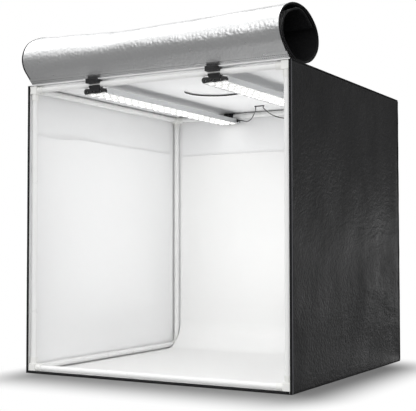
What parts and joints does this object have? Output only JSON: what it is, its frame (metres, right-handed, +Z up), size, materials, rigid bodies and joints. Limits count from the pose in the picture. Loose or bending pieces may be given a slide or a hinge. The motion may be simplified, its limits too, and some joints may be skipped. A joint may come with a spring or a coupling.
{
  "type": "light tent cube",
  "caption": "Fabric photo light tent on a tube frame with a rolled front door, a round roof hatch and LED light bars clipped under the roof.",
  "frame": {"origin": "centre of the underside, on the surface that the tent stands on", "axes": "+Z up, +Y to the back wall, so the open front faces -Y and +X is on the right seen from the front"},
  "size_m": [0.6, 0.6409, 0.7082],
  "materials": {
    "fabric": "black coated woven nylon outside, white or silver embossed film inside",
    "binding": "black woven edge binding",
    "silver": "embossed silver film on cloth",
    "tube": "white coated steel tube",
    "connector": "white moulded plastic",
    "clip": "black moulded plastic",
    "housing": "satin aluminium channel",
    "board": "white board with LED chips",
    "sheet": "matt white sheet",
    "lead": "black flexible plastic",
    "hook_tape": "white hook-and-loop tape"
  },
  "bodies": {
    "tent": {"left_wall": "fabric", "right_wall": "fabric", "back_wall": "fabric", "roof_panel": "fabric", "base_panel": "fabric", "binding_left": "binding", "binding_right": "binding", "binding_bottom": "binding", "door_hem": "binding", "hatch_tape": "binding", "liner_left": "silver", "liner_right": "silver", "bottom_rail_front": "tube", "bottom_rail_rear": "tube", "bottom_rail_left": "tube", "bottom_rail_right": "tube", "top_rail_front": "tube", "top_rail_rear": "tube", "top_rail_left": "tube", "top_rail_right": "tube", "post_front_left": "tube", "post_front_right": "tube", "post_rear_left": "tube", "post_rear_right": "tube", "connector_bottom_front_left": "connector", "connector_bottom_front_right": "connector", "connector_bottom_rear_left": "connector", "connector_bottom_rear_right": "connector", "connector_top_front_left": "connector", "connector_top_front_right": "connector", "connector_top_rear_left": "connector", "connector_top_rear_right": "connector", "lead_gland": "connector", "backdrop": "sheet", "lead_left": "lead", "lead_right": "lead", "hatch_ring": "hook_tape", "backdrop_strip": "hook_tape"},
    "door_roll": {"door_roll": "silver", "door_trim_left": "binding", "door_trim_right": "binding"},
    "hatch_flap": {"hatch_flap": "fabric"},
    "left_bar": {"bar_housing_left": "housing", "led_board_left": "board", "clip_front_left": "clip", "clip_rear_left": "clip", "lead_boot_left": "lead"},
    "right_bar": {"bar_housing_right": "housing", "led_board_right": "board", "clip_front_right": "clip", "clip_rear_right": "clip", "lead_boot_right": "lead"}
  },
  "joints": [
    {"name": "door_roll_hinge", "type": "hinge", "parent": "tent", "child": "door_roll", "pos_m": [0, -0.3, 0.601], "axis": [1, 0, 0], "range_deg": [0, 90]},
    {"name": "hatch_flap_hinge", "type": "hinge", "parent": "tent", "child": "hatch_flap", "pos_m": [0, 0.0455, 0.6026], "axis": [-1, 0, 0], "range_deg": [0, 170]},
    {"name": "left_bar_slide", "type": "slide", "parent": "tent", "child": "left_bar", "axis": [1, 0, 0], "range_m": [-0.115, 0.094], "deforming": ["lead_left"]},
    {"name": "right_bar_slide", "type": "slide", "parent": "tent", "child": "right_bar", "axis": [1, 0, 0], "range_m": [-0.103, 0.109], "deforming": ["lead_right"]}
  ]
}
